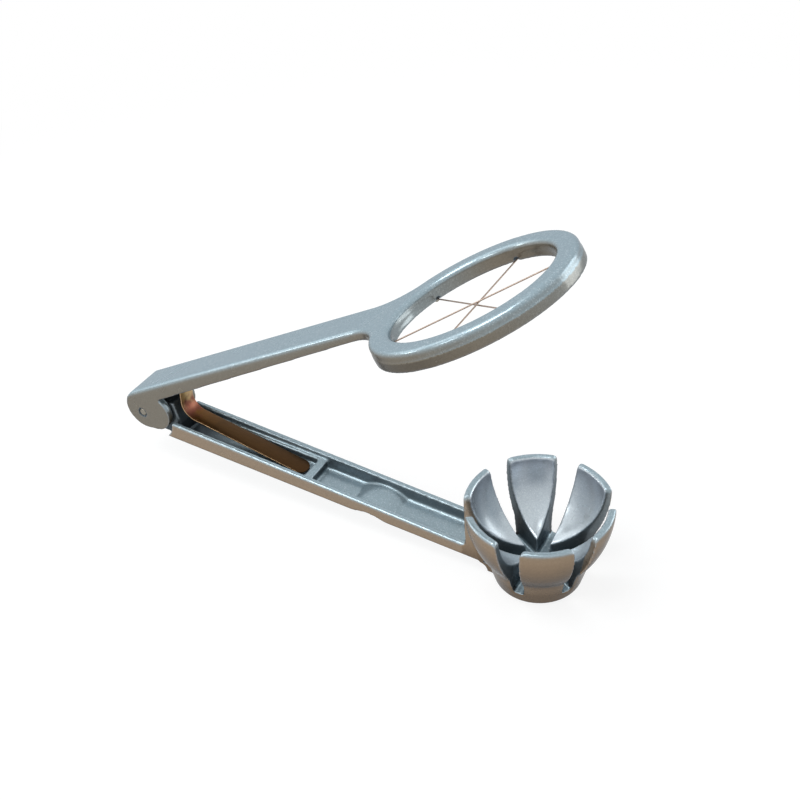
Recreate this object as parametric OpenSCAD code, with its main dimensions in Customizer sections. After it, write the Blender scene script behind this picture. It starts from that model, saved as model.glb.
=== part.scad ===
// Egg wedger: a sprung lever tool. The lower arm carries a slotted egg cup, and the upper arm
// carries a ring of crossed cutting wires that closes over the cup.
// The origin is the centre of the cup's foot, +X points from the hinge to the cup, +Z is up.

/* [Lever] */
// Level distance from the hinge axis to the cup axis
lever_length = 162; // [150:1:180]
// Outer width of both arms
arm_w = 17; // [16:0.1:18.4]
// Slope of the lower arm, falling from the hinge to the cup, in degrees
arm_slope = 4.9; // [4.5:0.1:5.5]
// Height of the lower arm's top line where it meets the cup axis
arm_top_at_cup = 7.8; // [7.4:0.1:8.6]
// Angle of the open upper arm above level
open_angle = 28.6; // [20:0.1:34]

/* [Lower arm] */
// Depth of the lower arm below its top line at the hinge
lower_depth_hinge = 7.9; // [7.2:0.1:8.6]
// Depth of the lower arm below its top line at the cup axis
lower_depth_cup = 4.9; // [4.4:0.1:5.4]
// Thickness of the channel floor
lower_floor = 1.2; // [1:0.1:1.8]
// Wall thickness at the top edge of the channel
lower_wall = 1.8; // [1.4:0.1:2.4]
// Lean of the channel walls, in degrees
channel_draft = 8; // [4:0.5:10]
// Fillet where the channel floor meets its walls
channel_fillet = 1.4; // [0.8:0.1:2]
// Rounding of the outer top edges of the channel
lower_edge_r = 0.8; // [0.5:0.1:1.2]
// Rounding of the bottom edges of the arm
lower_keel_r = 1.4; // [0.8:0.1:1.8]
// Distance from the hinge to the far end of the spring pocket
pocket_end = 75; // [72:0.5:85]
// Height of the pocket frame above the channel floor
pocket_h = 3.5; // [2.6:0.1:3.8]
// Height of the pocket's floor above the channel floor
pocket_floor = 0.6; // [0.3:0.1:0.9]
// Width of the spring pocket
pocket_w = 9.6; // [9:0.1:10]
// Thickness of the bar that closes the pocket
pocket_bar = 3.4; // [2:0.1:5]
// Distance from the hinge to the arch in the channel floor
arch_place = 101; // [94:0.5:112]
// Depth of the scallop under the arch
scallop_depth = 1.8; // [1.2:0.1:2]
// Radius of the scallop
scallop_r = 16; // [14:0.5:20]
// Thickness of the floor over the scallop
arch_floor = 1.6; // [1.2:0.1:1.8]
// Fillet between the arm's underside and the cup's foot
under_fillet = 3; // [2:0.1:3.4]

/* [Cup] */
// Diameter of the cup over its rim
cup_d = 49.8; // [48:0.2:51.4]
// Height of the cup
cup_h = 32.3; // [30:0.1:36]
// Diameter of the egg that the bowl is shaped for
egg_d = 44.6; // [42:0.1:46]
// Rounding of the petals' rims
rim_round = 1; // [0.6:0.1:1.2]
// How far the clearing where the slots cross reaches past the slots' corners
hub_ease = 0.6; // [0.4:0.1:1]
// How far the clearing lies below the slot floors
hub_drop = 0.1; // [0.05:0.05:0.3]
// Rounding of the petals' upper corners
petal_round = 1.6; // [1:0.1:2]
// Radius of the bowl's outer curve
bowl_r = 36; // [34:0.5:42]
// Diameter of the foot above its rounded edge
foot_d = 30.6; // [28:0.1:31]
// Rounding of the foot's bottom edge
foot_round = 1.3; // [0.8:0.1:2]
// Flare of the foot's side, in degrees
foot_flare = 16; // [12:0.5:18]
// Height of the slot floors above the table
slot_floor = 4.6; // [4:0.1:5.4]
// Width of the wire slots at their floor
slot_w_floor = 3.8; // [3.4:0.1:4.6]
// Width of the wire slots at the rim
slot_w_rim = 8.2; // [7.6:0.1:9]

/* [Upper arm] */
// Height of the upper arm's top above the hinge axis
upper_top = 9.3; // [9:0.1:10]
// Height of the upper arm's lower edge above the hinge axis, at the hinge
upper_under_hinge = 2.8; // [2.4:0.1:3.6]
// Height of the upper arm's lower edge above the hinge axis, at the ring
upper_under_ring = 6; // [5.4:0.1:6.4]
// Thickness of the top wall
upper_roof = 1.4; // [1.1:0.1:1.7]
// Thickness of the side walls
upper_wall = 2; // [1.6:0.1:2.6]
// Rounding of the top edges of the arm and of the ring's outer edge
edge_r = 1.7; // [1.3:0.1:2]
// Fillet between arm and ring
neck_r = 17; // [13:0.5:20]
// How far the neck fillets stay below the arm's top
neck_drop = 0.8; // [0.6:0.1:1.2]

/* [Ring] */
// How far the ring's centre lies ahead of the cup axis
ring_ahead = 0.6; // [0:0.1:0.8]
// Outer diameter of the ring
ring_d = 69.2; // [66:0.2:72]
// Width of the ring's band
ring_band = 7.3; // [6.8:0.1:7.5]
// Height of the ring
ring_h = 6.5; // [6:0.1:6.8]
// Height of the outer skirt below the casting's parting step
skirt_h = 3.2; // [2.4:0.1:3.8]
// Size of the parting step
part_step = 0.2; // [0.1:0.05:0.3]
// Thickness of the ring's skirts
skirt_t = 1.8; // [1.5:0.1:2]
// Rounding of the ring's inner top edge
inner_edge_r = 1.8; // [1.2:0.1:2]
// How far the inner skirt ends above the outer one
inner_lift = 0.6; // [0.4:0.1:0.8]

/* [Wires] */
// Diameter of the cutting wires
wire_d = 0.5; // [0.4:0.05:0.6]
// Height of the middle wire above the ring's lower edge
wire_rise = 1.3; // [1.2:0.05:2]
// Width of the notches that the wires pass through
notch_w = 1.4; // [1:0.1:1.6]
// Outer diameter of the crimped ferrules
ferrule_d = 2; // [1.8:0.1:2.2]
// Length of the crimped ferrules
ferrule_l = 2.4; // [1.8:0.1:2.6]

/* [Hinge] */
// Diameter of the hinge pin
pin_d = 3; // [2.5:0.1:3.5]
// How far the pin's ends sit below the cheeks
pin_recess = 0.15; // [0.05:0.05:0.4]
// Chamfer of the pin's ends and of the holes in the cheeks
pin_chamfer = 0.3; // [0.2:0.05:0.5]
// Thickness of the hinge cheeks
cheek_t = 3; // [2.6:0.1:3.4]
// Radius of the upper arm's round end
end_r = 8.4; // [8:0.1:8.8]
// Distance of the round end's centre in front of the hinge axis
end_x = 1.5; // [1:0.1:1.8]
// Thickness of the wall that closes the round end
end_wall = 1.3; // [1:0.1:1.5]
// Radius of the lobe under each cheek
lobe_r = 8.2; // [7.6:0.1:8.6]
// Distance of the lobe's centre in front of the hinge axis
lobe_x = 5.1; // [4.4:0.1:5.6]
// Distance of the lobe's centre below the hinge axis
lobe_drop = 0.8; // [0.4:0.1:1.2]
// Distance from the hinge to the foot of the lug's front face
lug_front = 17.5; // [16:0.1:18.5]
// Height of the lug's top corner above the hinge axis
lug_top = 7.3; // [6.6:0.1:7.4]

/* [Spring] */
// Width of the leaf spring
spring_w = 7; // [6:0.1:8.6]
// Thickness of the leaf spring
spring_t = 0.5; // [0.4:0.05:0.8]
// Distance from the hinge to the tip of the lower leg
spring_tip = 70; // [62:0.5:70.5]
// Length of the upper leg along the upper arm, measured from the hinge
spring_upper_tip = 66; // [55:0.5:90]
// Distance from the hinge to the back of the spring's bend
spring_back = 15.7; // [15.2:0.1:17]
// Inner radius of the lower bend
bend_low_r = 6.25; // [5:0.05:7]
// Inner radius of the upper bend
bend_high_r = 12; // [8:0.5:13]
// Rise of the lower leg towards the hinge, in degrees
leg_rise = 6.4; // [5.6:0.1:7.2]

/* [Clearances] */
// Running clearance of the pin in the lug, on the radius
pin_clear = 0.05; // [0.02:0.01:0.1]
// Interference of the pressed pin and of the crimped ferrules, on the radius
press = 0.01; // [0.005:0.005:0.02]
// Gap between each cheek and the lug
cheek_clear = 0.2; // [0.15:0.05:0.4]
// Gap round the moving hinge parts
swing_clear = 0.4; // [0.3:0.05:0.5]
// Gap at the stops, open and closed
stop_clear = 0.15; // [0.1:0.05:0.25]
// Gap between the spring and the castings
spring_clear = 0.3; // [0.2:0.05:0.4]
// Gap between touching wires, and between wires and their seats
wire_clear = 0.02; // [0.01:0.01:0.04]

/* [Hidden] */
$fn = 96;
over = 1;
far_cut = 60;
wire_angles = [-30, 90, 30];
wire_count = len(wire_angles);
ferrule_count = 2 * wire_count;

// Places along the lower arm, measured from the hinge axis
hinge_h = arm_top_at_cup + lever_length * tan(arm_slope);
lever_run = lever_length / cos(arm_slope);
keel_rise = (lower_depth_hinge - lower_depth_cup) / lever_run;
keel_angle = atan(keel_rise);
function keel_at(s) = -lower_depth_hinge + keel_rise * s;
function floor_at(s) = keel_at(s) + lower_floor;
function level_at(s, m) = hinge_h - s * sin(arm_slope) + m * cos(arm_slope);

// The cup
rim_r = cup_d / 2;
egg_r = egg_d / 2;
foot_r = foot_d / 2;
bowl_c = [rim_r - bowl_r, cup_h];
flare_dir = [sin(foot_flare), cos(foot_flare)];
flare_start = [foot_r, foot_round];
flare_from = flare_start - bowl_c;
flare_along = flare_from * flare_dir;
flare_run = -flare_along - sqrt(pow(flare_along, 2) - flare_from * flare_from + pow(bowl_r, 2));
flare_end = flare_start + (flare_run + over) * flare_dir;
slot_lean = (slot_w_rim - slot_w_floor) / 2 / (cup_h - slot_floor);
hub_r = slot_w_floor + hub_ease;

// The upper arm and the ring, measured from the hinge axis
ring_u = lever_run + ring_ahead;
ring_r = ring_d / 2;
skirt_r = ring_r + part_step;
bore_r = ring_r - ring_band;
ring_under = upper_top - ring_h;
ring_meet = ring_u - sqrt(pow(skirt_r, 2) - pow(arm_w / 2, 2));
close_extra = atan((ring_under - stop_clear) / ring_meet);
swing = open_angle + arm_slope;
under_rise = (upper_under_ring - upper_under_hinge) / (ring_u - ring_r);
function under_at(u) = upper_under_hinge + under_rise * u;
roof_under = upper_top - upper_roof;
neck_c = [ring_u - sqrt(pow(ring_r + neck_r, 2) - pow(arm_w / 2 + neck_r, 2)), arm_w / 2 + neck_r];
neck_way = ([ring_u, 0] - neck_c) / (ring_r + neck_r);
neck_in = neck_c + (neck_r + edge_r) * neck_way;
hollow_in = bore_r + skirt_t + part_step;
hollow_out = ring_r - skirt_t;
wire_mid = ring_under + wire_rise;
wire_r = wire_d / 2;
wire_step = wire_d + wire_clear;
ferrule_start = hollow_in + wire_clear;
ferrule_end = ferrule_start + ferrule_l;

// The hinge
pin_r = pin_d / 2;
end_c = [end_x, upper_top - end_r];
end_in_r = end_r - end_wall;
lobe_c = [lobe_x, -lobe_drop];
lobe_way = lobe_c - end_c;
lobe_turn = atan2(lobe_way.y, lobe_way.x) - acos((end_r - lobe_r) / norm(lobe_way));
lobe_out = [cos(lobe_turn), sin(lobe_turn)];
blend_bite = 0.08;
lug_w = arm_w - 2 * cheek_t - 2 * cheek_clear;
end_wall_low = -1;
end_wall_in = end_c.x - sqrt(pow(end_in_r, 2) - pow(end_wall_low - end_c.y, 2));
lug_r = norm([end_wall_in, end_wall_low]) - swing_clear;
heel_r = norm([end_c.x - sqrt(pow(end_r, 2) - pow(end_wall_low - end_c.y, 2)), end_wall_low]);
lug_top_x = 12.8;

// The leaf spring, as a line in the plane of the lever
leg_foot = [spring_tip, floor_at(spring_tip) + pocket_floor + spring_clear + spring_t];
leg_level = leg_foot.y + leg_foot.x * tan(leg_rise);
low_mid_r = bend_low_r + spring_t / 2;
low_c = [spring_back + low_mid_r, leg_level - (spring_back + low_mid_r) * tan(leg_rise)
    + low_mid_r / cos(leg_rise)];
high_mid_r = bend_high_r + spring_t / 2;
upper_leg_n = roof_under - spring_clear - spring_t / 2;
meet_m = (upper_leg_n + spring_back * sin(swing)) / cos(swing);
high_tangent = high_mid_r * tan((90 - swing) / 2);
high_c = [spring_back + high_mid_r, meet_m - high_tangent];
upper_leg_tip = [spring_upper_tip * cos(swing) - upper_leg_n * sin(swing),
    spring_upper_tip * sin(swing) + upper_leg_n * cos(swing)];
bend_steps = 16;

// Frames with their origin on the hinge axis, X along the arm and Z square to it
module lower_frame() {
    translate([-lever_length, 0, hinge_h]) rotate([0, arm_slope, 0]) children();
}

module upper_frame() {
    translate([-lever_length, 0, hinge_h]) rotate([0, -open_angle, 0]) children();
}

module ring_frame() {
    upper_frame() translate([ring_u, 0, 0]) children();
}

// A side outline given a width across the arm
module across(w) {
    rotate([90, 0, 0]) linear_extrude(w, center = true) children();
}

// A cross section run along the arm
module along(from, to) {
    translate([from, 0, 0]) rotate([90, 0, 90]) linear_extrude(to - from) children();
}

// A bar section with its two top corners rounded, standing down from its top line
module round_top(w, top, r) {
    translate([-w / 2, top - far_cut]) square([w, far_cut - r]);
    translate([r - w / 2, top - far_cut]) square([w - 2 * r, far_cut]);
    for (side = [-1, 1]) translate([side * (w / 2 - r), top - r]) circle(r);
}

// The channel's section above its floor, with leaning walls and rounded corners
module channel_section() {
    top_half = arm_w / 2 - lower_wall;
    low_half = top_half - lower_depth_hinge * tan(channel_draft);
    corner = channel_fillet * tan((90 - channel_draft) / 2);
    polygon([
        [corner - low_half, 0],
        [low_half - corner, 0],
        [low_half + corner * sin(channel_draft), corner * cos(channel_draft)],
        [low_half + far_cut * tan(channel_draft), far_cut],
        [-low_half - far_cut * tan(channel_draft), far_cut],
        [-low_half - corner * sin(channel_draft), corner * cos(channel_draft)]
    ]);
    for (side = [-1, 1]) translate([side * (low_half - corner), channel_fillet]) circle(channel_fillet);
}

module channel_frame() {
    translate([0, 0, -lower_depth_hinge + lower_floor]) rotate([0, -keel_angle, 0]) children();
}

// The solid bar that the lower arm's channel is sunk into
module lower_bar() {
    intersection() {
        along(0, lever_run - foot_r / 2) round_top(arm_w, 0, lower_edge_r);
        translate([0, 0, -lower_depth_hinge]) rotate([0, -keel_angle, 0]) mirror([0, 0, 1])
            along(-over, lever_run) round_top(arm_w, 0, lower_keel_r);
    }
}

// What the cheeks sweep at the hinge end of the lower arm
module cheek_room() {
    across(arm_w + 2 * over) {
        rotate(-close_extra) translate(lobe_c) circle(lobe_r + swing_clear);
        rotate(-close_extra) translate(end_c) circle(end_r + swing_clear);
    }
}

// A round bar across the arm, about the scallop's centre
module scallop(thickness) {
    translate([arch_place, 0, keel_at(arch_place) + scallop_depth - scallop_r]) rotate([90, 0, 0])
        cylinder(r = scallop_r + thickness, h = arm_w + 2 * over, center = true);
}

// The channel, left out where the pocket frame and the arch over the scallop stand
module lower_channel() {
    difference() {
        channel_frame() along(0, lever_run) channel_section();
        channel_frame() translate([lug_front, -arm_w / 2, -over])
            cube([pocket_end - lug_front, arm_w, pocket_h + over]);
        scallop(arch_floor);
    }
    channel_frame() translate([lug_front, -pocket_w / 2, pocket_floor])
        cube([pocket_end - pocket_bar - lug_front, pocket_w, far_cut]);
}

// The lug that stands between the cheeks, with the heel that stops the opened arm
module lug() {
    across(lug_w) difference() {
        union() {
            circle(lug_r);
            polygon([[0, lug_r], [lug_top_x, lug_top], [lug_front, floor_at(lug_front)],
                [lug_front, keel_at(lug_front)], [0, keel_at(0)]]);
            intersection() {
                circle(heel_r);
                rotate(swing) translate([-far_cut, end_wall_low - stop_clear - far_cut])
                    square([far_cut, far_cut]);
                translate([-far_cut, keel_at(0)]) square([far_cut, far_cut]);
            }
        }
        circle(pin_r + pin_clear);
    }
}

// Half of the cup's section, turned about the cup axis
module cup_section() {
    rim_level = cup_h - rim_round;
    difference() {
        union() {
            square([foot_r - foot_round, foot_round]);
            translate([foot_r - foot_round, foot_round]) circle(foot_round);
            polygon([[0, foot_round], flare_start, flare_end, [0, flare_end.y]]);
            intersection() {
                translate(bowl_c) circle(bowl_r);
                translate([0, foot_round]) square([rim_r, rim_level - foot_round]);
            }
        }
        translate([0, cup_h]) circle(egg_r);
    }
    translate([egg_r + rim_round, rim_level]) square([rim_r - egg_r - 2 * rim_round, rim_round]);
    for (x = [egg_r + rim_round, rim_r - rim_round]) translate([x, rim_level]) circle(rim_round);
}

// The cup's back, which carries the arm up to the rim
module cup_back() {
    difference() {
        intersection() {
            cylinder(r = rim_r, h = cup_h - rim_round);
            lower_frame() translate([lever_run - rim_r - far_cut / 2, -arm_w / 2, -lower_depth_cup / 2])
                cube([rim_r / 2 + far_cut / 2, arm_w, far_cut]);
        }
        translate([0, 0, cup_h]) sphere(r = egg_r);
    }
}

// The fillet between the arm's underside and the foot
module under_web() {
    web_x = foot_r + under_fillet;
    web_s = lever_run - web_x;
    web_top = level_at(web_s, keel_at(web_s));
    across(arm_w) difference() {
        translate([-web_x, web_top - under_fillet])
            square([web_x - foot_r / 2, under_fillet + lower_floor / 2]);
        translate([-web_x, web_top - under_fillet]) circle(under_fillet);
    }
}

// A slot right across the cup for one wire
module wire_slot() {
    rise = cup_h - slot_floor;
    low_half = slot_w_floor / 2;
    high_half = low_half + slot_lean * rise;
    along(-rim_r - over, rim_r + over) difference() {
        translate([0, slot_floor]) polygon([[-low_half, 0], [low_half, 0],
            [high_half - slot_lean * petal_round, rise - petal_round],
            [high_half + petal_round, rise - petal_round], [high_half + petal_round, rise + over],
            [-high_half - petal_round, rise + over], [-high_half - petal_round, rise - petal_round],
            [-high_half + slot_lean * petal_round, rise - petal_round]]);
        for (side = [-1, 1]) translate([side * (high_half + petal_round), cup_h - petal_round])
            circle(petal_round);
    }
}

module lower_arm() {
    color("silver") difference() {
        union() {
            difference() {
                lower_frame() difference() {
                    lower_bar();
                    cheek_room();
                    scallop(0);
                }
                difference() {
                    lower_frame() lower_channel();
                    cylinder(r = rim_r, h = cup_h);
                }
            }
            lower_frame() lug();
            rotate_extrude() cup_section();
            cup_back();
            under_web();
        }
        for (a = wire_angles) rotate([0, 0, a]) wire_slot();
        translate([0, 0, slot_floor - hub_drop]) cylinder(r = hub_r, h = cup_h);
    }
}

// The upper arm seen from the side, with its round end and the lobes of its cheeks
module upper_outline() {
    stop_u = ring_u - (hollow_in + hollow_out) / 2;
    translate(end_c) circle(end_r);
    translate(lobe_c) circle(lobe_r);
    polygon([end_c, end_c + (end_r - blend_bite) * lobe_out,
        lobe_c + (lobe_r - blend_bite) * lobe_out, lobe_c]);
    polygon([[end_c.x, upper_top], [stop_u, upper_top], [stop_u, under_at(stop_u)],
        [end_c.x, under_at(end_c.x)]]);
}

// The hollow under the upper arm, closed at the round end by a wall
module upper_hollow() {
    cheek_end = lobe_c.x + lobe_r + swing_clear;
    hollow_end = ring_u - skirt_r - upper_wall;
    across(arm_w - 2 * cheek_t) {
        intersection() {
            translate(end_c) circle(end_in_r);
            translate([-far_cut, -far_cut]) square([2 * far_cut, far_cut + roof_under]);
        }
        translate([-far_cut, -far_cut]) square([2 * far_cut, far_cut + end_wall_low]);
        translate([end_c.x, -far_cut]) square([hollow_end - end_c.x, far_cut + roof_under]);
    }
    across(arm_w - 2 * upper_wall) translate([cheek_end, -far_cut])
        square([hollow_end - cheek_end, far_cut + roof_under]);
}

// The fillets beside the neck, a little below the arm's top
module neck_fillets() {
    under = under_at(neck_c.x);
    for (side = [0, 1]) mirror([0, side, 0]) difference() {
        translate([0, 0, under]) linear_extrude(upper_top - neck_drop - under)
            polygon([[neck_c.x, arm_w / 2 - edge_r], neck_c, neck_in, [neck_in.x, arm_w / 2 - edge_r]]);
        translate([neck_c.x, neck_c.y, 0]) cylinder(r = neck_r + blend_bite, h = far_cut, center = true);
    }
}

// Half of the ring's section: a rounded band with an outer and an inner skirt
module ring_section() {
    step = ring_under + skirt_h;
    crown = upper_top - step;
    lip = upper_top - inner_edge_r;
    translate([bore_r, step]) square([ring_band, crown - edge_r]);
    translate([bore_r + inner_edge_r, step]) square([ring_band - inner_edge_r - edge_r, crown]);
    translate([ring_r - edge_r, upper_top - edge_r]) circle(edge_r);
    translate([bore_r + inner_edge_r, lip]) circle(inner_edge_r);
    translate([bore_r, step]) square([inner_edge_r, lip - step]);
    translate([bore_r + part_step, ring_under]) square([skirt_r - bore_r - part_step, skirt_h]);
}

module ring_hollow() {
    rotate_extrude() {
        translate([hollow_in, ring_under - over])
            square([hollow_out - hollow_in, roof_under - ring_under + over]);
        translate([bore_r - over, ring_under - over]) square([hollow_in - bore_r + over, inner_lift + over]);
    }
}

function wire_level(i) = wire_mid + (i - 1) * wire_step;

// The notches at both ends of one wire, rounded where the wire bears
module wire_notches(i) {
    seat = wire_level(i) + wire_r + wire_clear - notch_w / 2;
    rotate([0, 0, wire_angles[i]]) along(-hollow_in - over, hollow_in + over) {
        translate([0, seat]) circle(d = notch_w);
        translate([-notch_w / 2, ring_under - over]) square([notch_w, seat - ring_under + over]);
    }
}

module upper_arm() {
    color("silver") difference() {
        union() {
            upper_frame() intersection() {
                across(arm_w) upper_outline();
                along(-far_cut, ring_u) round_top(arm_w, upper_top, edge_r);
            }
            upper_frame() neck_fillets();
            ring_frame() rotate_extrude() ring_section();
        }
        upper_frame() upper_hollow();
        ring_frame() ring_hollow();
        ring_frame() for (i = [0 : wire_count - 1]) wire_notches(i);
        upper_frame() rotate([90, 0, 0]) cylinder(r = pin_r - press, h = arm_w + over, center = true);
        upper_frame() for (side = [-1, 1]) translate([0, side * arm_w / 2, 0]) rotate([side * 90, 0, 0])
            cylinder(r1 = pin_r, r2 = pin_r + pin_chamfer, h = 2 * pin_chamfer, center = true);
    }
}

module hinge_pin() {
    pin_l = arm_w - 2 * pin_recess;
    color("lightgray") upper_frame() rotate([90, 0, 0]) {
        cylinder(r = pin_r, h = pin_l - 2 * pin_chamfer, center = true);
        for (end = [0, 1]) mirror([0, 0, end]) translate([0, 0, pin_l / 2 - pin_chamfer])
            cylinder(r1 = pin_r, r2 = pin_r - pin_chamfer, h = pin_chamfer);
    }
}

// Points of a bend at one radius, from one direction to another
function bend_points(c, r, from, to) =
    [for (k = [0 : bend_steps]) let (a = from + (to - from) * k / bend_steps) c + r * [cos(a), sin(a)]];

// One face of the leaf, from the tip of its lower leg to the tip of its upper leg
function leaf_side(off) = concat(
    [leg_foot + off * [sin(leg_rise), cos(leg_rise)]],
    bend_points(low_c, low_mid_r - off, 270 - leg_rise, 180),
    bend_points(high_c, high_mid_r - off, 180, 90 + swing),
    [upper_leg_tip + off * [sin(swing), -cos(swing)]]);

function backwards(list) = [for (k = [len(list) - 1 : -1 : 0]) list[k]];

module leaf_spring() {
    tip_r = spring_w / 2;
    color("peru") lower_frame() intersection() {
        across(spring_w) polygon(concat(leaf_side(spring_t / 2), backwards(leaf_side(-spring_t / 2))));
        translate([0, 0, -far_cut]) linear_extrude(2 * far_cut) {
            translate([0, -spring_w]) square([spring_tip - tip_r, 2 * spring_w]);
            translate([spring_tip - tip_r, 0]) circle(tip_r);
        }
    }
}

// One straight cutting wire, as long as its two ferrules reach
module cutting_wire(i) {
    color("darkkhaki") ring_frame() translate([0, 0, wire_level(i)]) rotate([0, 0, wire_angles[i]])
        rotate([0, 90, 0]) cylinder(r = wire_r, h = 2 * ferrule_end, center = true);
}

// A crimped ferrule behind the inner skirt, on one end of a wire
module wire_ferrule(k) {
    i = floor(k / 2);
    turn = wire_angles[i] + 180 * (k % 2);
    color("gray") ring_frame() translate([0, 0, wire_level(i)]) rotate([0, 0, turn]) rotate([0, 90, 0])
        translate([0, 0, ferrule_start]) difference() {
            cylinder(d = ferrule_d, h = ferrule_l);
            translate([0, 0, -over]) cylinder(r = wire_r - press, h = ferrule_l + 2 * over);
        }
}

lower_arm();
leaf_spring();
upper_arm();
hinge_pin();
for (i = [0 : wire_count - 1])
    cutting_wire(i);
for (k = [0 : ferrule_count - 1])
    wire_ferrule(k);
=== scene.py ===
from math import cos, pi, radians, sin, sqrt

import bmesh
import bpy
from mathutils import Matrix, Vector
from mathutils.bvhtree import BVHTree
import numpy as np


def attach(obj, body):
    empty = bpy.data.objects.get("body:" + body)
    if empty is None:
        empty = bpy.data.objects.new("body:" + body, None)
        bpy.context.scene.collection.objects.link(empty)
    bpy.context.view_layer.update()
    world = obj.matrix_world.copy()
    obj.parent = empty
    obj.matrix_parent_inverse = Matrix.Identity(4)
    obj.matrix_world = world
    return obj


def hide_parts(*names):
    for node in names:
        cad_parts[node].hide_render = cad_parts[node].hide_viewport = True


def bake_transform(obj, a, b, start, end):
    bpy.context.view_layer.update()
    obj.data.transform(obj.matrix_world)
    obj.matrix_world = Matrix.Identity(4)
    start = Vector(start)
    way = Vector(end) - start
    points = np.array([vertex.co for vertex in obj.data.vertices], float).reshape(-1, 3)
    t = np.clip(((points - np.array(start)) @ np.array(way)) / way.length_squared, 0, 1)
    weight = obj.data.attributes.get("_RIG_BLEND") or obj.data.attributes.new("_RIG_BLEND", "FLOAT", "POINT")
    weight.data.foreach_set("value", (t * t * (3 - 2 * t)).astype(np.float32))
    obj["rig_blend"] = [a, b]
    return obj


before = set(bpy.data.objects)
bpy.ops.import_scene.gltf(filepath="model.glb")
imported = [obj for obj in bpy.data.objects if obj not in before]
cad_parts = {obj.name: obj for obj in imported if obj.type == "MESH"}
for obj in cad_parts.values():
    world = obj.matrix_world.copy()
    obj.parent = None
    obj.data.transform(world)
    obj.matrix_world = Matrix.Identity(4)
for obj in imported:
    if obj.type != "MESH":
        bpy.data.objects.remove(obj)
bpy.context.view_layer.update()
mm = 0.001
print("frame loaded with", len(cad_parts), "nodes")

# the lever's two frames: X along an arm, Z square to it, both from the hinge axis, in mm and degrees
lever = {"hinge": (-162, 0, 21.688), "slope": 4.9, "rise": 28.6}
hingePlace = Matrix.Translation(Vector(lever["hinge"]) * mm)
lowerFrame = hingePlace @ Matrix.Rotation(radians(lever["slope"]), 4, "Y")
upperFrame = hingePlace @ Matrix.Rotation(radians(-lever["rise"]), 4, "Y")

mixFactor, mixFirst, mixSecond, mixResult = 0, 6, 7, 2  # sockets of a Mix node that mixes colours
noiseFill = (0.3, 0.7)  # the values that a noise texture mostly gives


def hexColour(code):
    parts = [int(code[k:k + 2], 16) / 255 for k in (1, 3, 5)]
    return [c / 12.92 if c <= 0.04045 else ((c + 0.055) / 1.055) ** 2.4 for c in parts] + [1]


def span(side, limits):
    low, high = limits
    return {side + " Min": low, side + " Max": high}


def addNode(tree, kind, inputs=None, tones=None, **settings):
    node = tree.nodes.new(kind)
    for name, value in settings.items():
        setattr(node, name, value)
    for socket, value in (inputs or {}).items():
        if isinstance(value, bpy.types.NodeSocket):
            tree.links.new(value, node.inputs[socket])
        else:
            node.inputs[socket].default_value = value
    if tones:
        stops = node.color_ramp.elements
        while len(stops) < len(tones):
            stops.new(0.5)  # anywhere, as each stop is moved next
        for stop, (at, tone) in zip(stops, tones):
            stop.position = at
            stop.color = hexColour(tone)
    return node


def emptyMaterial(name):
    material = bpy.data.materials.new(name)
    material.use_nodes = True
    material.node_tree.nodes.clear()
    return material, material.node_tree


def linkObject(name, mesh):
    piece = bpy.data.objects.new(name, mesh)
    bpy.context.scene.collection.objects.link(piece)
    return piece


def applyModifiers(piece):
    evaluated = piece.evaluated_get(bpy.context.evaluated_depsgraph_get())
    finished = bpy.data.meshes.new_from_object(evaluated)
    finished.name = piece.name
    piece.modifiers.clear()
    piece.data = finished


# the camera stands where the photograph was taken from, in mm and degrees
view = {"place": (111.1, -257.0, 290.1), "azimuth": 32.118, "elevation": 37.42, "roll": -4.471,
        "lens": 52.07, "sensor": 36, "nearest": 10}


def aimCamera():
    az, el, roll = (radians(view[k]) for k in ("azimuth", "elevation", "roll"))
    back = Vector((sin(az) * cos(el), -cos(az) * cos(el), sin(el)))
    right = Vector((cos(az), sin(az), 0))
    up = back.cross(right)
    across = right * cos(roll) + up * sin(roll)
    upright = up * cos(roll) - right * sin(roll)
    data = bpy.data.cameras.new("photoCamera")
    data.sensor_fit = "HORIZONTAL"
    data.sensor_width = view["sensor"]
    data.lens = view["lens"]
    data.clip_start = view["nearest"] * mm
    camera = linkObject("photoCamera", data)
    turn = Matrix((across, upright, back)).transposed().to_4x4()
    camera.matrix_world = Matrix.Translation(Vector(view["place"]) * mm) @ turn
    bpy.context.scene.camera = camera


aimCamera()
print("camera placed")

# silver lacquer sprayed over die-cast aluminium, a satin metal gloss with fine flakes; painted light in the
# tones:
# a cool painted sky light on what faces up, a warm painted reflection on the walls, painted shade where they
# turn down, a grey one underneath, painted shade deep in the slots, and painted glints on the brightest
# flakes
lacquer = {"top": "#9db0b9", "bottom": "#8f999e", "wornHighlitWall": "#a9b0ba", "wornHighlitTop": "#ccd6dc",
           "bright": "#eef4f6", "edgeTint": "#a0aab3",
           "metallic": 0.5, "specular": 0.2, "roughness": (0.19, 0.29), "cloud": 12 * mm,
           "flake": 0.3 * mm, "grain": (0.92, 1.08), "glintFrom": 0.84, "glint": 0.32,
           "orangePeel": 1.4 * mm, "flakeHeight": 0.5, "bump": 0.055, "bumpDepth": 0.04 * mm}
# painted reflection: warm open wall tones; painted shade: a darker brown for walls that turn down
wallTones = {"lower": ("#a38e77", "#38291f"), "upper": ("#857d70", "#47413a")}  # open, and facing down
# tones of spots that little light reaches, by how open they are, and where the open begins
cavityTones = [(0.2, "#3a4146"), (0.5, "#5c6367"), (0.75, "#6b7175"), (0.9, "#84898c")]
openSpot = 0.98
# painted light and shade by facing: where each tone starts and is full, as how far a face looks up (1) or
# down (-1)
toneSpans = {"wall": (-0.7, -0.1), "bottom": (-0.7, -0.95), "top": (-0.15, 0.85)}


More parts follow.
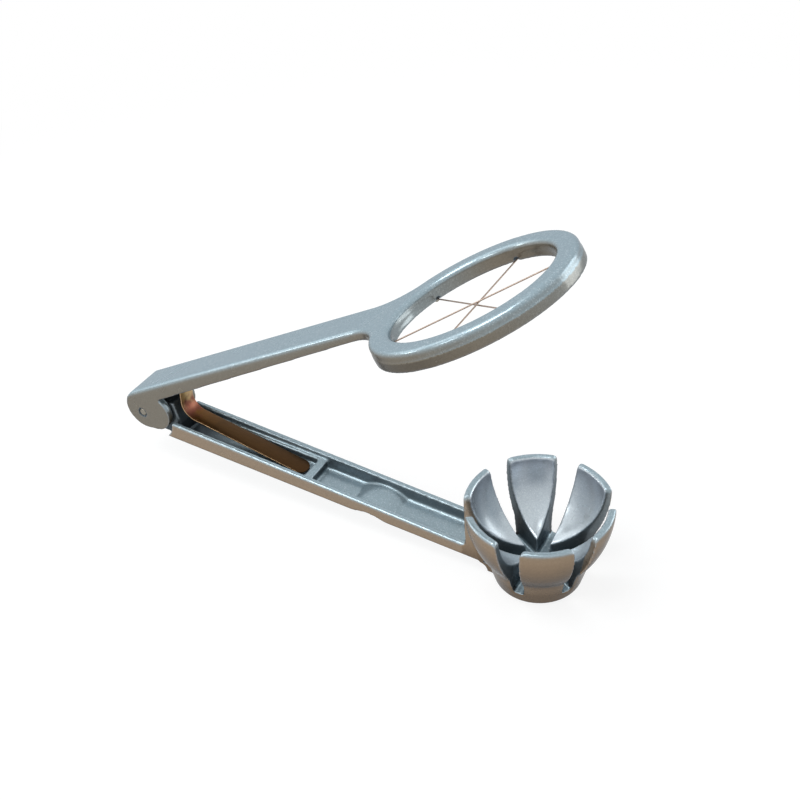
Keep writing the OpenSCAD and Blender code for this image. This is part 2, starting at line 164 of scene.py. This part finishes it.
def castLacquer(arm):
    material, tree = emptyMaterial("silver_lacquered_cast_aluminium_" + arm)
    place = addNode(tree, "ShaderNodeTexCoord").outputs["Object"]
    upFacing = addNode(tree, "ShaderNodeAttribute", attribute_name="upFacing").outputs["Fac"]
    openness = addNode(tree, "ShaderNodeAttribute", attribute_name="openness").outputs["Fac"]
    wornHighlit = addNode(tree, "ShaderNodeAttribute", attribute_name="wornHighlit").outputs["Fac"]

    # painted shade where the rays found little open sky, painted reflection on warm walls turning dark brown
    # downward
    openTone, underTone = wallTones[arm]
    wall = addNode(tree, "ShaderNodeValToRGB", {"Fac": openness}, cavityTones + [(openSpot, openTone)])
    lit = addNode(tree, "ShaderNodeMapRange", {"Value": upFacing, **span("From", toneSpans["wall"])})
    sides = addNode(tree, "ShaderNodeMix",
                    {mixFactor: lit.outputs[0], mixFirst: hexColour(underTone), mixSecond: wall.outputs[0]},
                    data_type="RGBA")
    bottom = addNode(tree, "ShaderNodeValToRGB", {"Fac": openness},
                     cavityTones + [(openSpot, lacquer["bottom"])])
    turned = addNode(tree, "ShaderNodeMapRange", {"Value": upFacing, **span("From", toneSpans["bottom"])})
    shaded = addNode(tree, "ShaderNodeMix",
                     {mixFactor: turned.outputs[0], mixFirst: sides.outputs[mixResult],
                      mixSecond: bottom.outputs[0]}, data_type="RGBA")
    # painted light: the cool top tone on faces that look up
    upLight = addNode(tree, "ShaderNodeMapRange", {"Value": upFacing, **span("From", toneSpans["top"])},
                   interpolation_type="SMOOTHSTEP")
    upLitTone = addNode(tree, "ShaderNodeMix",
                     {mixFactor: upLight.outputs[0], mixFirst: shaded.outputs[mixResult],
                      mixSecond: hexColour(lacquer["top"])}, data_type="RGBA")
    # edges and the egg seat brightened, partly wear and partly painted highlight, paler where they look up
    bare = addNode(tree, "ShaderNodeMix",
                   {mixFactor: upLight.outputs[0], mixFirst: hexColour(lacquer["wornHighlitWall"]),
                    mixSecond: hexColour(lacquer["wornHighlitTop"])}, data_type="RGBA")
    wornHighlitTone = addNode(tree, "ShaderNodeMix",
                   {mixFactor: wornHighlit, mixFirst: upLitTone.outputs[mixResult],
                    mixSecond: bare.outputs[mixResult]}, data_type="RGBA")

    flakes = addNode(tree, "ShaderNodeTexVoronoi", {"Vector": place, "Scale": 1 / lacquer["flake"]})
    flake = addNode(tree, "ShaderNodeSeparateColor", {"Color": flakes.outputs["Color"]}).outputs["Red"]
    grain = addNode(tree, "ShaderNodeMapRange", {"Value": flake, **span("To", lacquer["grain"])})
    grained = addNode(tree, "ShaderNodeMix",
                      {mixFactor: 1.0, mixFirst: wornHighlitTone.outputs[mixResult], mixSecond: grain.outputs[0]},
                      data_type="RGBA", blend_type="MULTIPLY")
    # painted glints: the brightest flakes turn near white on faces that look up
    glint = addNode(tree, "ShaderNodeMapRange",
                    {"Value": flake, **span("From", (lacquer["glintFrom"], 1)),
                     **span("To", (0, lacquer["glint"]))})
    glinting = addNode(tree, "ShaderNodeMath", {0: glint.outputs[0], 1: upLight.outputs[0]},
                       operation="MULTIPLY")
    sparkled = addNode(tree, "ShaderNodeMix",
                       {mixFactor: glinting.outputs[0], mixFirst: grained.outputs[mixResult],
                        mixSecond: hexColour(lacquer["bright"])}, data_type="RGBA")

    cloud = addNode(tree, "ShaderNodeTexNoise", {"Vector": place, "Scale": 1 / lacquer["cloud"], "Detail": 3})
    rough = addNode(tree, "ShaderNodeMapRange",
                    {"Value": cloud.outputs["Fac"], **span("From", noiseFill),
                     **span("To", lacquer["roughness"])})
    peel = addNode(tree, "ShaderNodeTexNoise",
                   {"Vector": place, "Scale": 1 / lacquer["orangePeel"], "Detail": 2})
    height = addNode(tree, "ShaderNodeMath", {0: flake, 1: lacquer["flakeHeight"], 2: peel.outputs["Fac"]},
                     operation="MULTIPLY_ADD")
    bump = addNode(tree, "ShaderNodeBump", {"Strength": lacquer["bump"], "Distance": lacquer["bumpDepth"],
                                            "Height": height.outputs[0]})
    shader = addNode(tree, "ShaderNodeBsdfPrincipled",
                     {"Base Color": sparkled.outputs[mixResult], "Metallic": lacquer["metallic"],
                      "Roughness": rough.outputs[0], "Normal": bump.outputs[0],
                      "Specular IOR Level": lacquer["specular"],
                      "Specular Tint": hexColour(lacquer["edgeTint"])})
    addNode(tree, "ShaderNodeOutputMaterial", {"Surface": shader.outputs[0]})
    return material


# the flush gussets that widen the upper arm into the ring, with the arm's rounded top edge, in mm and degrees
neck = {"arc": (118.34, 25.5), "armSide": 8.5, "sweep": 60.4, "arcSteps": 16, "bury": 2.6,
        "under": 5.7, "top": 9.3, "edge": 1.7, "edgeSteps": 5, "touch": 0.01}


def neckGussets():
    bm = bmesh.new()
    centre = Vector((*neck["arc"], neck["under"])) * mm
    radius = (neck["arc"][1] - neck["armSide"]) * mm
    start = bm.verts.new(centre - Vector((0, radius, 0)))
    spun = bmesh.ops.spin(bm, geom=[start], cent=centre, axis=(0, 0, 1), angle=radians(neck["sweep"]),
                          steps=neck["arcSteps"])
    end = next(g for g in spun["geom_last"] if isinstance(g, bmesh.types.BMVert))
    inside = end.co + (end.co - centre).normalized() * neck["bury"] * mm
    inner = (neck["armSide"] - neck["bury"]) * mm
    corners = [bm.verts.new(c) for c in (inside, Vector((inside.x, inner, inside.z)),
                                         Vector((start.co.x, inner, inside.z)))]
    for pair in zip([end] + corners, corners + [start]):
        bm.edges.new(pair)
    floor = bmesh.ops.contextual_create(bm, geom=bm.edges[:])["faces"]
    raised = bmesh.ops.extrude_face_region(bm, geom=floor, use_keep_orig=True)["geom"]
    lifted = [g for g in raised if isinstance(g, bmesh.types.BMVert)]
    bmesh.ops.translate(bm, vec=(0, 0, (neck["top"] - neck["under"]) * mm), verts=lifted)
    onArc = [v for v in lifted if abs((v.co - centre).xy.length - radius) < neck["touch"] * mm]
    arc = [e for e in bm.edges if all(v in onArc for v in e.verts)]
    bmesh.ops.bevel(bm, geom=arc, offset=neck["edge"] * mm, affect="EDGES", segments=neck["edgeSteps"],
                    profile=0.5, material=-1)
    bmesh.ops.mirror(bm, geom=bm.verts[:] + bm.edges[:] + bm.faces[:], merge_dist=0, axis="Y")
    bmesh.ops.recalc_face_normals(bm, faces=bm.faces)
    bm.transform(upperFrame)
    mesh = bpy.data.meshes.new("neckGussets")
    bm.to_mesh(mesh)
    bm.free()
    return mesh


# both castings: the CAD solids with the soft edges of a die casting, and how open each spot is to the light
casting = {"weld": 0.001 * mm, "skin": 0.42 * mm, "softness": 0.5, "triangles": 195000,
           "rays": 48, "reach": 24 * mm, "clear": 0.1 * mm, "grazing": 0.12, "nearLight": 0.6, "evenings": 3}
# edges brightened, the sharper the more, partly as wear from use and partly as painted highlight
edgeWearHighlight = {"from": 0.05, "full": 0.22, "most": 0.55}
# the egg seat, a true sphere brightened all over, partly as wear from use and partly as painted light, in mm
seat = {"centre": (0, 0, 32.3), "radius": 22.3, "within": 0.35, "true": 0.4, "facing": 0.9}
# the soft waist between the petals and the foot, painted with shade that deepens toward the foot, in mm
waist = {"low": 5.5, "high": 15, "outside": 16, "facing": 0.8, "passes": 30, "softness": 0.5,
         "foot": 14.5, "cup": 26, "shadedFacing": -0.4, "fade": 10, "ledge": 0.6, "armEnd": -11, "reach": 23,
         "outward": 0.5}
# the spring pocket and the lug, darkened with painted shadow, and the arm's open sides, in mm
pocket = {"lug": (-10, 21), "lugLight": 0.6, "dark": (24, 58), "darkest": 0.7, "halfWidth": 5.6,
          "under": -1.5, "facing": -0.5, "armSide": 7.2, "sideways": 0.6}
# the ring's skirt under the parting line with painted shade near the arm and painted light far off, the
# bore's arm side painted paler as a reflection, and painted shadow rims at the wires' holes (angle and
# height) and the hinge pin, in mm and degrees
skirt = {"ring": 163.19, "outside": 33.9, "parting": 6.0, "shadedFacing": -0.4, "lift": 0.6,
         "bore": 29.4, "boreTop": 7.4, "boreShadedFacing": -0.25, "boreLift": 0.65,
         "wires": ((-30, 3.58), (90, 4.1), (30, 4.62)), "hole": 1.0,
         "pin": (1.45, 1.95), "cheek": 7.4, "rim": -0.1}


def skyWays(count):
    turn = pi * (3 - sqrt(5))  # the golden angle spreads the ways evenly
    ways = []
    for k in range(count):
        z = 1 - (2 * k + 1) / count
        ways.append(Vector((cos(turn * k) * sqrt(1 - z * z), sin(turn * k) * sqrt(1 - z * z), z)))
    return ways


# the openness sets painted shade in the lacquer: closed-in spots get darker tones
def measureOpenness(bm):
    tree = BVHTree.FromBMesh(bm)
    layer = bm.verts.layers.float.new("openness")
    ways = skyWays(casting["rays"])
    reach = casting["reach"]
    for vert in bm.verts:
        start = vert.co + vert.normal * casting["clear"]
        light = whole = 0
        for way in ways:
            slant = vert.normal.dot(way)
            if slant > casting["grazing"]:
                gap = tree.ray_cast(start, way, reach)[3]
                whole += slant
                light += slant if gap is None else slant * casting["nearLight"] * gap / reach
        vert[layer] = light / whole
    for turn in range(casting["evenings"]):
        evened = [(vert[layer] + sum(e.other_vert(vert)[layer] for e in vert.link_edges))
                  / (1 + len(vert.link_edges)) for vert in bm.verts]
        for vert, level in zip(bm.verts, evened):
            vert[layer] = level


def measureFacingWearHighlight(bm):
    upFacing = bm.verts.layers.float.new("upFacing")
    wornHighlit = bm.verts.layers.float.new("wornHighlit")
    for vert in bm.verts:
        vert[upFacing] = vert.normal.z
        sides = [e.other_vert(vert).co for e in vert.link_edges]
        middle = sum(sides, Vector()) / len(sides)
        sharp = (vert.co - middle).dot(vert.normal) / (vert.co - sides[0]).length
        vert[wornHighlit] = edgeWearHighlight["most"] * min(max((sharp - edgeWearHighlight["from"]) / (edgeWearHighlight["full"] - edgeWearHighlight["from"]), 0), 1)


def lowerShape(bm):
    centre = Vector(seat["centre"]) * mm
    radius = seat["radius"] * mm
    for vert in bm.verts:
        out = vert.co - centre
        if abs(out.length - radius) < seat["true"] * mm and vert.normal.dot(out) < -seat["facing"] * radius:
            vert.co = centre + out * (radius / out.length)
    bend = [v for v in bm.verts if waist["low"] * mm < v.co.z < waist["high"] * mm
            and v.co.xy.length > waist["outside"] * mm
            and v.normal.xy.dot(v.co.xy.normalized()) > waist["facing"]]
    for turn in range(waist["passes"]):
        bmesh.ops.smooth_vert(bm, verts=bend, factor=waist["softness"], use_axis_x=True, use_axis_y=True,
                              use_axis_z=True)


def lowerFinish(bm):
    upFacing, openness, wornHighlit = (bm.verts.layers.float[k] for k in ("upFacing", "openness", "wornHighlit"))
    centre = Vector(seat["centre"])
    toArm = lowerFrame.inverted()
    for vert in bm.verts:
        # the egg seat brightened all over: partly wear, partly painted light
        if abs((vert.co / mm - centre).length - seat["radius"]) < seat["within"]:
            vert[wornHighlit] = 1
        across = vert.co.xy.length / mm
        pastArm = vert.co.x > waist["armEnd"] * mm or across > waist["reach"]
        ledge = pastArm and vert.normal.z > waist["ledge"]
        # painted shade: the waist darkens toward the foot and loses its brightening
        if vert.co.z < waist["high"] * mm and waist["foot"] < across < waist["cup"] and not ledge:
            fall = min(1, (waist["high"] - vert.co.z / mm) / waist["fade"])
            vert[upFacing] = min(vert[upFacing], waist["shadedFacing"] * fall)
            vert[wornHighlit] = 0
        s, y, m = toArm @ vert.co / mm
        cupWall = vert.normal.xy.dot(vert.co.xy.normalized()) > waist["outward"] and across > waist["foot"]
        armWall = vert.normal.y * (1 if y > 0 else -1) > pocket["sideways"] and abs(y) > pocket["armSide"]
        if cupWall or armWall:
            vert[openness] = max(vert[openness], openSpot)
        # painted shadow: the lug and the pocket floor under the spring are darkened
        inPocket = abs(y) < pocket["halfWidth"] and vert.normal.z > pocket["facing"]
        start, end = pocket["lug"]
        if inPocket and start < s < end:
            vert[openness] *= pocket["lugLight"]
            vert[upFacing] = 0
        start, end = pocket["dark"]
        if inPocket and s < end and m < pocket["under"]:
            depth = min(1, (end - s) / (end - start))
            vert[openness] *= 1 - pocket["darkest"] * depth
            vert[upFacing] *= 1 - depth


def upperFinish(bm):
    upFacing, openness = (bm.verts.layers.float[k] for k in ("upFacing", "openness"))
    toRing = upperFrame.inverted()
    for vert in bm.verts:
        s, y, n = toRing @ vert.co / mm
        u = s - skirt["ring"]
        across = sqrt(u * u + y * y)
        inBore = across < skirt["bore"]
        # painted shade near the arm and painted light toward the far end on the skirt
        if across > skirt["outside"] and s > neck["arc"][0] and n < skirt["parting"]:
            vert[upFacing] = skirt["shadedFacing"] + skirt["lift"] * max(0, u / across)
        # painted reflection: the bore is paler on the arm's side
        if inBore and n < skirt["boreTop"]:
            vert[upFacing] = skirt["boreShadedFacing"] + skirt["boreLift"] * max(0, -u / across)
            vert[openness] = 1
        # painted shadow: dark rims around the hinge pin and the wires' holes
        rims = [skirt["pin"][0] < sqrt(s * s + n * n) < skirt["pin"][1] and abs(y) > skirt["cheek"]]
        for angle, level in skirt["wires"]:
            beside = u * sin(radians(angle)) - y * cos(radians(angle))
            rims.append(inBore and sqrt(beside ** 2 + (n - level) ** 2) < skirt["hole"])
        if any(rims):
            vert[openness] = 0
            vert[upFacing] = skirt["rim"]


# square is the frame that the voxels of the skin lie along
def softCasting(node, name, body, material, softPasses, square, finish, shape=None, extra=None):
    bm = bmesh.new()
    bm.from_mesh(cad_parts[node].data)
    bmesh.ops.remove_doubles(bm, verts=bm.verts, dist=casting["weld"])
    if extra:
        bm.from_mesh(extra)
    bm.transform(square.inverted())
    mesh = bpy.data.meshes.new(name)
    bm.to_mesh(mesh)
    bm.free()
    piece = linkObject(name, mesh)
    skin = piece.modifiers.new("skin", "REMESH")
    skin.mode = "VOXEL"
    skin.voxel_size = casting["skin"]
    soft = piece.modifiers.new("softEdges", "SMOOTH")
    soft.factor = casting["softness"]
    soft.iterations = softPasses
    applyModifiers(piece)
    thin = piece.modifiers.new("thin", "DECIMATE")
    thin.ratio = min(1, casting["triangles"] / (2 * len(piece.data.polygons)))  # the skin is all quads
    applyModifiers(piece)
    bm = bmesh.new()
    bm.from_mesh(piece.data)
    bm.transform(square)
    bm.normal_update()
    if shape:
        shape(bm)
        bm.normal_update()
    measureOpenness(bm)
    measureFacingWearHighlight(bm)
    finish(bm)
    for face in bm.faces:
        face.smooth = True
    bm.to_mesh(piece.data)
    print(name, "has", len(bm.faces), "faces")
    bm.free()
    piece.data.materials.clear()
    piece.data.materials.append(material)
    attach(piece, body)
    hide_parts(node)


softCasting("lower_arm", "lowerCasting", "lower", castLacquer("lower"), softPasses=8, square=Matrix(),
            finish=lowerFinish, shape=lowerShape)
softCasting("upper_arm", "upperCasting", "upper", castLacquer("upper"), softPasses=5, square=upperFrame,
            finish=upperFinish, extra=neckGussets())
print("castings made")

# bronzed spring steel strip: a dark brown oxide on the lower leg, a red band at the bend, gold tan above it,
# and bare bright edges; its shape is in mm and degrees along the lower arm
leaf = {"width": 7, "thickness": 0.5, "tip": (70, -4.008), "tipRound": 3.3, "tipSteps": 8,
        "lowBend": (22.2, 7.894), "lowRadius": 6.5, "lowTurn": 83.6, "lowSteps": 18,
        "highBend": (27.95, 12.623), "highTurn": 56.5, "highSteps": 14, "upperTip": (50.98, 42.557),
        "edge": 0.1, "edgeSteps": 2, "weld": 0.001, "sharp": 50,
        "flexMiddle": (15.7, 9.8), "flexLean": 13.5, "flexReach": (-7, 9),
        "bare": "#c4a27c", "metallic": 0.85, "roughness": (0.26, 0.46), "blotch": 3 * mm,
        "wander": (-0.02, 0.02), "brush": 0.35 * mm, "brushStretch": (0.1, 1, 0.1), "streak": (0.9, 1.1),
        "bump": 0.2, "bumpDepth": 0.02 * mm}
leafTones = [(0.0, "#432d15"), (0.36, "#4d3519"), (0.44, "#65441f"), (0.475, "#6d3e30"), (0.5, "#7a4f3e"),
             (0.525, "#a58a5e"), (0.6, "#ad9161"), (1.0, "#6a4e2c")]


def leafPlace(s, m, y=0):
    return Vector((s, y, m)) * mm


def springSteel():
    material, tree = emptyMaterial("bronzed_spring_steel")
    place = addNode(tree, "ShaderNodeTexCoord").outputs["Object"]
    along = addNode(tree, "ShaderNodeAttribute", attribute_name="alongLeaf").outputs["Fac"]
    side = addNode(tree, "ShaderNodeAttribute", attribute_name="leafEdge").outputs["Fac"]
    blotch = addNode(tree, "ShaderNodeTexNoise", {"Vector": place, "Scale": 1 / leaf["blotch"], "Detail": 4})
    wander = addNode(tree, "ShaderNodeMapRange",
                     {"Value": blotch.outputs["Fac"], **span("From", noiseFill),
                      **span("To", leaf["wander"])})
    spot = addNode(tree, "ShaderNodeMath", {0: along, 1: wander.outputs[0]}, operation="ADD")
    oxide = addNode(tree, "ShaderNodeValToRGB", {"Fac": spot.outputs[0]}, leafTones)
    lines = addNode(tree, "ShaderNodeMapping", {"Vector": place, "Scale": leaf["brushStretch"]})
    brush = addNode(tree, "ShaderNodeTexNoise",
                    {"Vector": lines.outputs[0], "Scale": 1 / leaf["brush"], "Detail": 2})
    streak = addNode(tree, "ShaderNodeMapRange",
                     {"Value": brush.outputs["Fac"], **span("From", noiseFill),
                      **span("To", leaf["streak"])})
    brushed = addNode(tree, "ShaderNodeMix",
                      {mixFactor: 1.0, mixFirst: oxide.outputs[0], mixSecond: streak.outputs[0]},
                      data_type="RGBA", blend_type="MULTIPLY")
    base = addNode(tree, "ShaderNodeMix",
                   {mixFactor: side, mixFirst: brushed.outputs[mixResult],
                    mixSecond: hexColour(leaf["bare"])}, data_type="RGBA")
    rough = addNode(tree, "ShaderNodeMapRange",
                    {"Value": blotch.outputs["Fac"], **span("To", leaf["roughness"])})
    bump = addNode(tree, "ShaderNodeBump", {"Strength": leaf["bump"], "Distance": leaf["bumpDepth"],
                                            "Height": brush.outputs["Fac"]})
    shader = addNode(tree, "ShaderNodeBsdfPrincipled",
                     {"Base Color": base.outputs[mixResult], "Metallic": leaf["metallic"],
                      "Roughness": rough.outputs[0], "Normal": bump.outputs[0]})
    addNode(tree, "ShaderNodeOutputMaterial", {"Surface": shader.outputs[0]})
    return material


def leafSpring():
    bm = bmesh.new()
    travel = bm.verts.layers.float.new("alongLeaf")
    half = leaf["width"] / 2
    run = 0
    tipVerts = [bm.verts.new(leafPlace(*leaf["tip"], y)) for y in (-half, half)]
    edge = [bm.edges.new(tipVerts)]

    def pull(edges, step, run):
        pulled = bmesh.ops.extrude_edge_only(bm, edges=edges)["geom"]
        moved = [g for g in pulled if isinstance(g, bmesh.types.BMVert)]
        bmesh.ops.translate(bm, vec=step, verts=moved)
        for vert in moved:
            vert[travel] = run + step.length
        return [g for g in pulled if isinstance(g, bmesh.types.BMEdge)], run + step.length

    def turn(edges, centre, radius, angle, steps, run):
        part = radians(angle / steps)
        for k in range(steps):
            ends = [v for e in edges for v in e.verts]
            spun = bmesh.ops.spin(bm, geom=edges + ends, cent=leafPlace(*centre), axis=(0, 1, 0), angle=part,
                                  steps=1)["geom_last"]
            edges = [g for g in spun if isinstance(g, bmesh.types.BMEdge)]
            run += part * radius * mm
            for vert in edges[0].verts:
                vert[travel] = run
        return edges, run

    rise = radians(90 - leaf["lowTurn"])
    low = Vector(leaf["lowBend"])
    high = Vector(leaf["highBend"])
    highRadius = high.x - low.x + leaf["lowRadius"]
    foot = low - leaf["lowRadius"] * Vector((sin(rise), cos(rise)))
    edge, run = pull(edge, leafPlace(*(foot - Vector(leaf["tip"]))), run)
    edge, run = turn(edge, low, leaf["lowRadius"], leaf["lowTurn"], leaf["lowSteps"], run)
    edge, run = pull(edge, leafPlace(0, high.y - low.y), run)
    edge, run = turn(edge, high, highRadius, leaf["highTurn"], leaf["highSteps"], run)
    top = sum((v.co for v in edge[0].verts), Vector()) / 2
    edge, run = pull(edge, leafPlace(*leaf["upperTip"]) - top, run)
    for vert in bm.verts:
        vert[travel] /= run
    bmesh.ops.bevel(bm, geom=tipVerts, offset=leaf["tipRound"] * mm, affect="VERTICES",
                    segments=leaf["tipSteps"], profile=0.5, material=-1)
    bmesh.ops.remove_doubles(bm, verts=bm.verts, dist=leaf["weld"] * mm)
    bmesh.ops.recalc_face_normals(bm, faces=bm.faces)
    mesh = bpy.data.meshes.new("leafStrip")
    bm.to_mesh(mesh)
    bm.free()
    piece = linkObject("leafStrip", mesh)
    wall = piece.modifiers.new("thickness", "SOLIDIFY")
    wall.thickness = leaf["thickness"] * mm
    wall.offset = 0
    edges = piece.modifiers.new("edges", "BEVEL")
    edges.width = leaf["edge"] * mm
    edges.segments = leaf["edgeSteps"]
    edges.limit_method = "ANGLE"
    applyModifiers(piece)
    bm = bmesh.new()
    bm.from_mesh(piece.data)
    bare = bm.verts.layers.float.new("leafEdge")
    for vert in bm.verts:
        vert[bare] = 1 if abs(vert.co.y) > (half - leaf["edge"] / 2) * mm else 0
    for face in bm.faces:
        face.smooth = True
    bm.transform(lowerFrame)
    bm.to_mesh(piece.data)
    bm.free()
    piece.data.set_sharp_from_angle(angle=radians(leaf["sharp"]))
    piece.data.materials.clear()
    piece.data.materials.append(springSteel())
    lean = radians(leaf["flexLean"])
    middle = Vector(leaf["flexMiddle"])
    way = Vector((-sin(lean), cos(lean)))
    ends = [lowerFrame @ leafPlace(*(middle + way * reach)) for reach in leaf["flexReach"]]
    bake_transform(piece, "lower", "upper", start=ends[0], end=ends[1])
    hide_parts("leaf_spring")


leafSpring()
print("leaf spring made")

# drawn stainless wire, turned pin steel and nickel-plated ferrules: a fine mottle left by drawing and turning
drawnSteels = {"cutting_wire": {"steel": "drawn_stainless_wire", "tone": "#9d8c80", "roughness": 0.36,
                                "grain": 0.3 * mm},
               "hinge_pin": {"steel": "turned_pin_steel", "tone": "#8a857a", "roughness": 0.38,
                             "grain": 0.5 * mm},
               "wire_ferrule": {"steel": "nickel_plated_ferrule", "tone": "#9a968c", "roughness": 0.32,
                                "grain": 0.4 * mm}}
mottle = {"tint": (0.92, 1.08), "roughness": 0.1, "metallic": 0.95, "bump": 0.15, "bumpDepth": 0.02 * mm}


def drawnSteel(steel, tone, roughness, grain):
    material, tree = emptyMaterial(steel)
    place = addNode(tree, "ShaderNodeTexCoord").outputs["Object"]
    noise = addNode(tree, "ShaderNodeTexNoise", {"Vector": place, "Scale": 1 / grain, "Detail": 3})
    tint = addNode(tree, "ShaderNodeMapRange",
                   {"Value": noise.outputs["Fac"], **span("From", noiseFill), **span("To", mottle["tint"])})
    base = addNode(tree, "ShaderNodeMix",
                   {mixFactor: 1.0, mixFirst: hexColour(tone), mixSecond: tint.outputs[0]},
                   data_type="RGBA", blend_type="MULTIPLY")
    limits = (roughness - mottle["roughness"], roughness + mottle["roughness"])
    rough = addNode(tree, "ShaderNodeMapRange", {"Value": noise.outputs["Fac"], **span("To", limits)})
    bump = addNode(tree, "ShaderNodeBump", {"Strength": mottle["bump"], "Distance": mottle["bumpDepth"],
                                            "Height": noise.outputs["Fac"]})
    shader = addNode(tree, "ShaderNodeBsdfPrincipled",
                     {"Base Color": base.outputs[mixResult], "Metallic": mottle["metallic"],
                      "Roughness": rough.outputs[0], "Normal": bump.outputs[0]})
    addNode(tree, "ShaderNodeOutputMaterial", {"Surface": shader.outputs[0]})
    return material


for start, finish in drawnSteels.items():
    material = drawnSteel(**finish)
    for name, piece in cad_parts.items():
        if name.startswith(start):
            piece.data.materials.clear()
            piece.data.materials.append(material)
print("wires, ferrules and pin finished")

# a pale studio in metres: a white floor with a faint shadow, fading to plain white further off, soft lamps
# overhead, left, in front and behind, and a low one that lines the edges, with name, place, size and watts
studio = {"floor": 1.6, "sink": 0.02 * mm, "floorWhite": 0.86, "shadeTone": "#7c7c7c",
          "shadowed": (0.22, 0.5), "paper": "#c6bfb6", "white": "#ffffff", "sky": "#dbe3e8", "skyLevel": 0.4,
          "aim": (-0.07, 0, 0.05),
          "lamps": [("overheadLamp", (-0.27, -0.17, 0.95), (0.5, 0.5), 4.5),
                    ("leftLamp", (-1.55, 0.06, 1.05), (1.0, 1.8), 6.0),
                    ("edgeLamp", (-1.43, -0.49, 0.46), (0.3, 0.2), 1.7),
                    ("frontLamp", (-0.45, -0.62, 0.62), (0.22, 0.22), 0.8),
                    ("backLamp", (0.55, 0.78, 0.2), (0.6, 0.6), 3.0)]}


# rays that show the plain white background, straight or in a mirror
def seenRays(tree):
    rays = addNode(tree, "ShaderNodeLightPath").outputs
    mirrored = addNode(tree, "ShaderNodeMath", {0: rays["Is Glossy Ray"], 1: rays["Is Transmission Ray"]},
                       operation="MAXIMUM")
    return addNode(tree, "ShaderNodeMath", {0: rays["Is Camera Ray"], 1: mirrored.outputs[0]},
                   operation="MAXIMUM").outputs[0]


def makeFloor():
    bm = bmesh.new()
    bmesh.ops.create_grid(bm, x_segments=1, y_segments=1, size=studio["floor"])
    bmesh.ops.translate(bm, vec=(0, 0, -studio["sink"]), verts=bm.verts)
    mesh = bpy.data.meshes.new("studioFloor")
    bm.to_mesh(mesh)
    bm.free()
    floor = linkObject("studioFloor", mesh)
    material, tree = emptyMaterial("pale_studio_floor")
    paper = addNode(tree, "ShaderNodeBsdfDiffuse", {"Color": hexColour(studio["paper"])})
    faint = addNode(tree, "ShaderNodeBsdfDiffuse", {"Color": hexColour(studio["shadeTone"])})
    glow = addNode(tree, "ShaderNodeEmission", {"Strength": studio["floorWhite"]})
    shaded = addNode(tree, "ShaderNodeAddShader", {0: faint.outputs[0], 1: glow.outputs[0]})
    place = addNode(tree, "ShaderNodeTexCoord").outputs["Object"]
    away = addNode(tree, "ShaderNodeVectorMath", {0: place}, operation="LENGTH").outputs["Value"]
    far = addNode(tree, "ShaderNodeMapRange", {"Value": away, **span("From", studio["shadowed"])},
                  interpolation_type="SMOOTHSTEP")
    plain = addNode(tree, "ShaderNodeEmission", {"Strength": 1.0})
    white = addNode(tree, "ShaderNodeMixShader",
                    {0: far.outputs[0], 1: shaded.outputs[0], 2: plain.outputs[0]})
    mixed = addNode(tree, "ShaderNodeMixShader",
                    {0: seenRays(tree), 1: paper.outputs[0], 2: white.outputs[0]})
    addNode(tree, "ShaderNodeOutputMaterial", {"Surface": mixed.outputs[0]})
    floor.data.materials.append(material)


def makeSky():
    world = bpy.data.worlds.new("studioSky")
    world.use_nodes = True
    tree = world.node_tree
    tree.nodes.clear()
    sky = addNode(tree, "ShaderNodeBackground",
                  {"Color": hexColour(studio["sky"]), "Strength": studio["skyLevel"]})
    white = addNode(tree, "ShaderNodeBackground", {"Color": hexColour(studio["white"]), "Strength": 1.0})
    mixed = addNode(tree, "ShaderNodeMixShader", {0: seenRays(tree), 1: sky.outputs[0], 2: white.outputs[0]})
    addNode(tree, "ShaderNodeOutputWorld", {"Surface": mixed.outputs[0]})
    bpy.context.scene.world = world


def hangLamps():
    for name, place, size, power in studio["lamps"]:
        data = bpy.data.lights.new(name, "AREA")
        data.shape = "RECTANGLE"
        data.energy = power
        data.size, data.size_y = size
        lamp = linkObject(name, data)
        lamp.location = place
        lamp.rotation_euler = (Vector(studio["aim"]) - Vector(place)).to_track_quat("-Z", "Y").to_euler()


makeFloor()
makeSky()
hangLamps()
bpy.context.scene.view_settings.view_transform = "Standard"
print("studio made")
